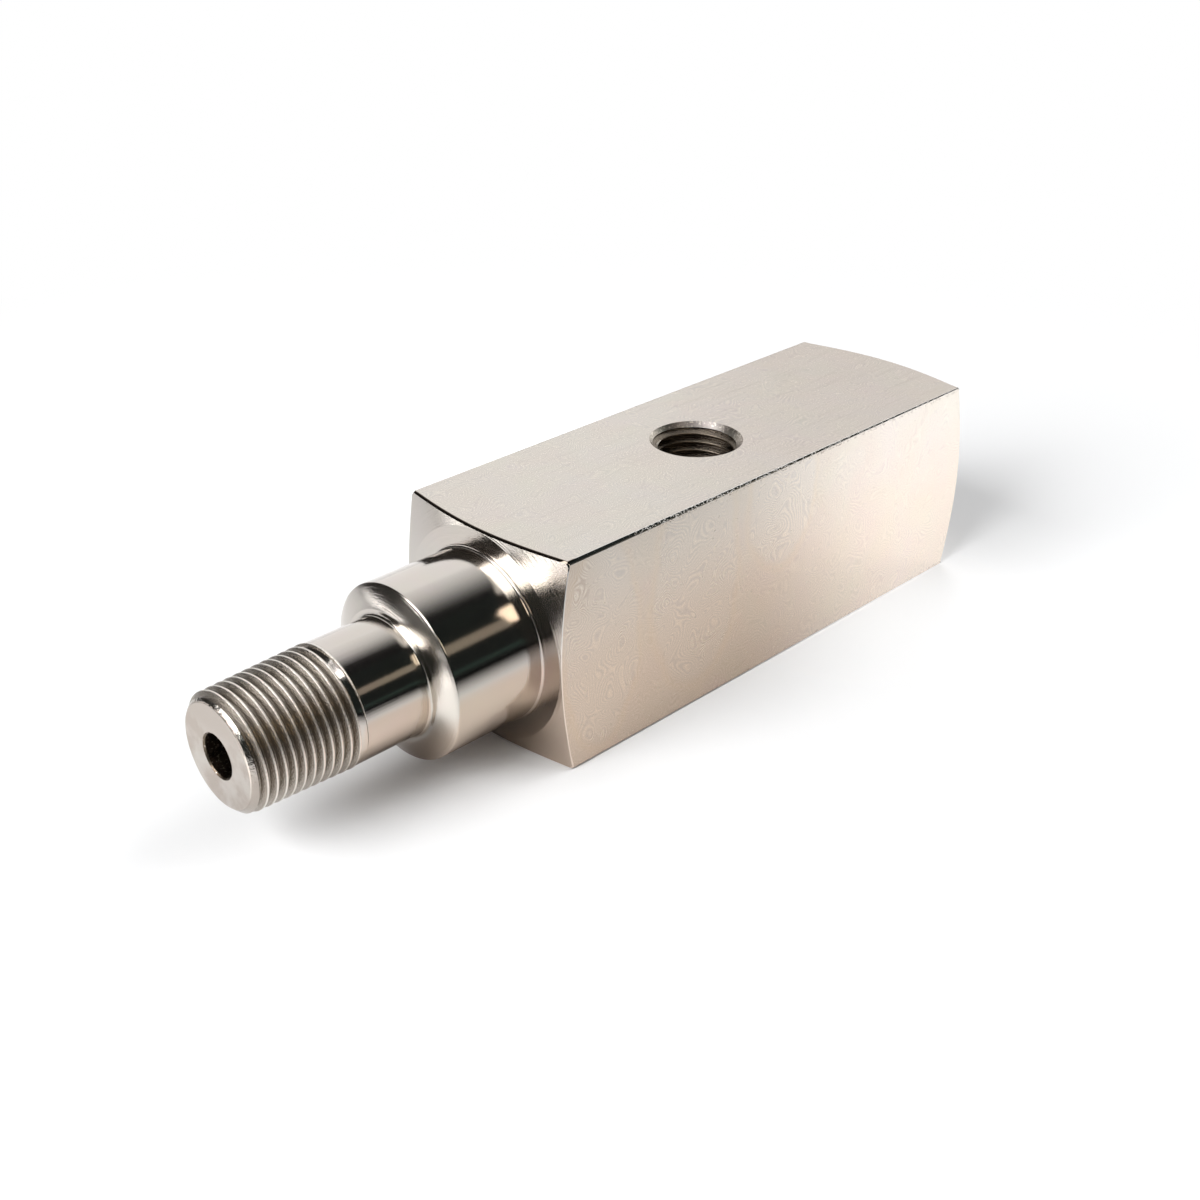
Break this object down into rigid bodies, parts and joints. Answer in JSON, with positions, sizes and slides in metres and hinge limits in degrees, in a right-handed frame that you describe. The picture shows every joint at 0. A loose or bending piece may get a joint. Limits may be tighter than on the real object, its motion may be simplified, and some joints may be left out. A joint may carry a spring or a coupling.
{
  "type": "pressure gauge adapter",
  "caption": "Square-bodied inline gauge adapter with a tapered male thread, a stepped turned nose, a rear female port and a gauge port in its top flat.",
  "frame": {"origin": "centre of the male thread's tip face, on the flow axis", "axes": "+X along the flow axis from the male thread to the line port; +Z out of the gauge port; the block lies on its flat at Z = -16 mm"},
  "size_m": [0.1335, 0.032, 0.032],
  "materials": {
    "nickel_plate": "nickel plate over turned and ground steel, satin bright, faintly stained"
  },
  "bodies": {
    "root": {"adapter_body": "nickel_plate"}
  },
  "joints": []
}
